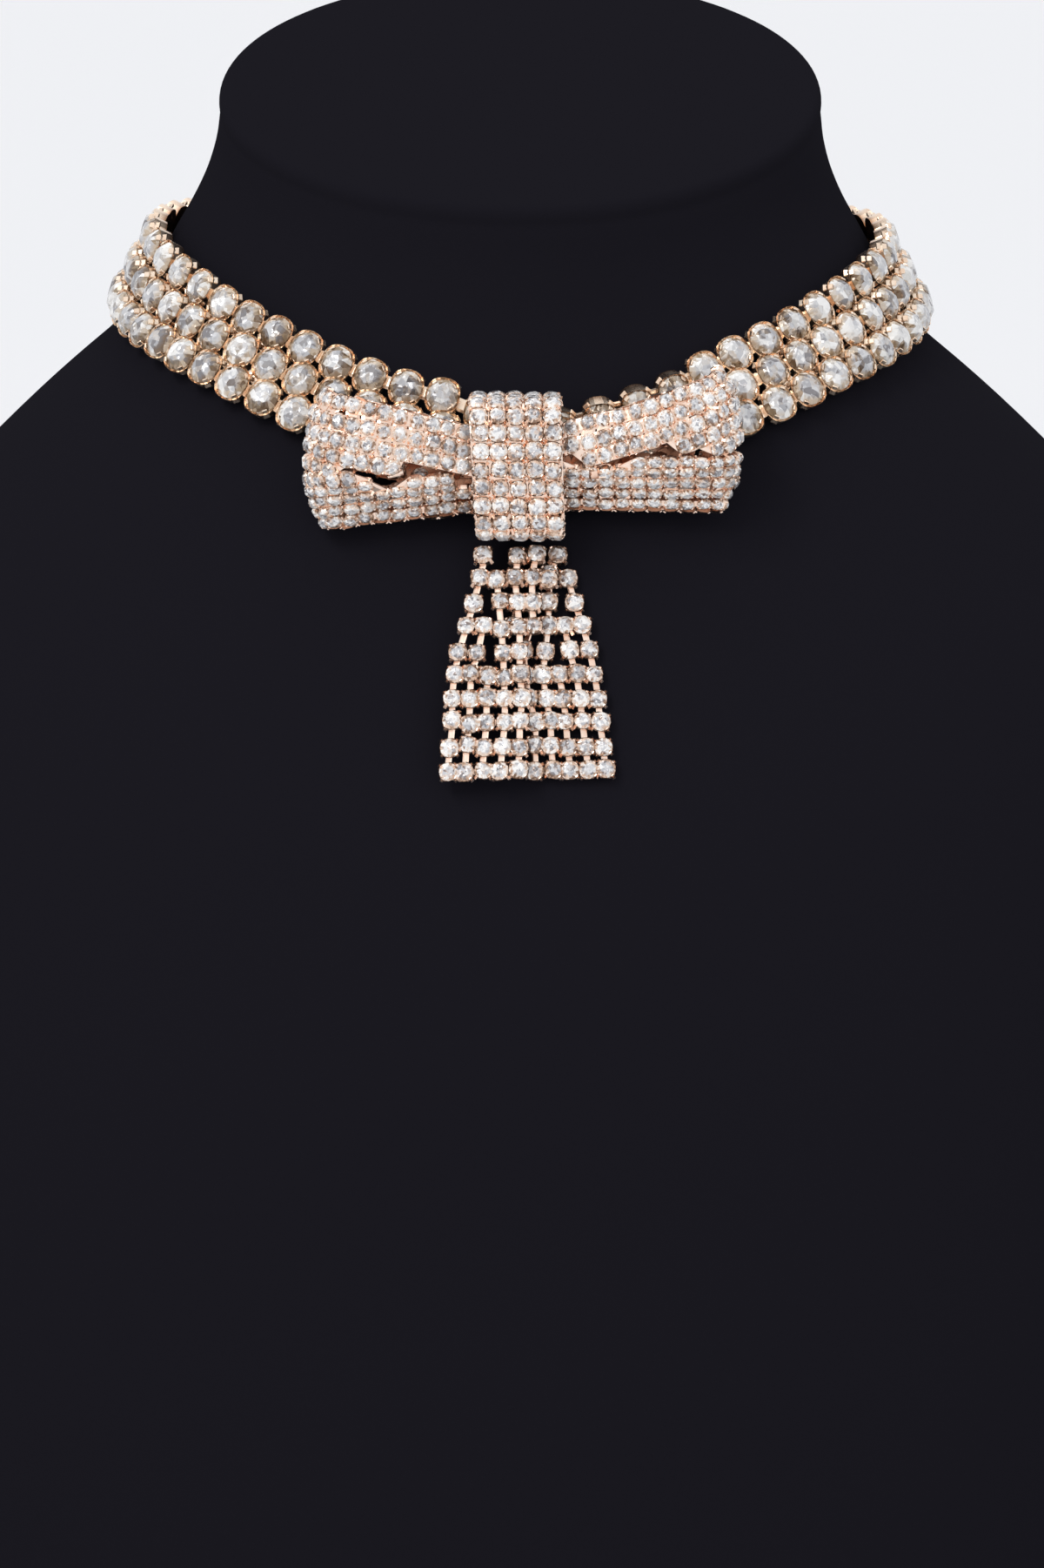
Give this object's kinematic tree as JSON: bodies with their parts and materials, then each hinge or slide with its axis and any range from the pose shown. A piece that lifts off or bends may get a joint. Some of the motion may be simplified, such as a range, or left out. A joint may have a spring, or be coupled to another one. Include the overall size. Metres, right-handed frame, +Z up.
{
  "type": "rhinestone bow choker necklace on a neck bust",
  "caption": "Rows of set stones round the neck with a stone mesh bow and pierced tails, clasped behind, worn by a plain black neck bust.",
  "frame": {"origin": "middle of the flat base of the bust", "axes": "+Z up, the wearer's front towards -Y, +X to the right in the picture"},
  "size_m": [0.208, 0.136, 0.2686],
  "materials": {
    "rose_gold": "polished rose gold plating",
    "crystal": "clear foil-backed round stones in rose gold cups",
    "bust_cover": "matte black velvet cover"
  },
  "bodies": {
    "root": {"neck_bust": "bust_cover", "choker_row_top": "crystal", "choker_row_middle": "crystal", "choker_row_bottom": "crystal", "end_bar_left": "rose_gold", "end_bar_right": "rose_gold", "clasp": "rose_gold", "bow_wing_left": "crystal", "bow_wing_right": "crystal", "bow_knot": "crystal", "bow_tail_left": "crystal", "bow_tail_right": "crystal"}
  },
  "joints": []
}
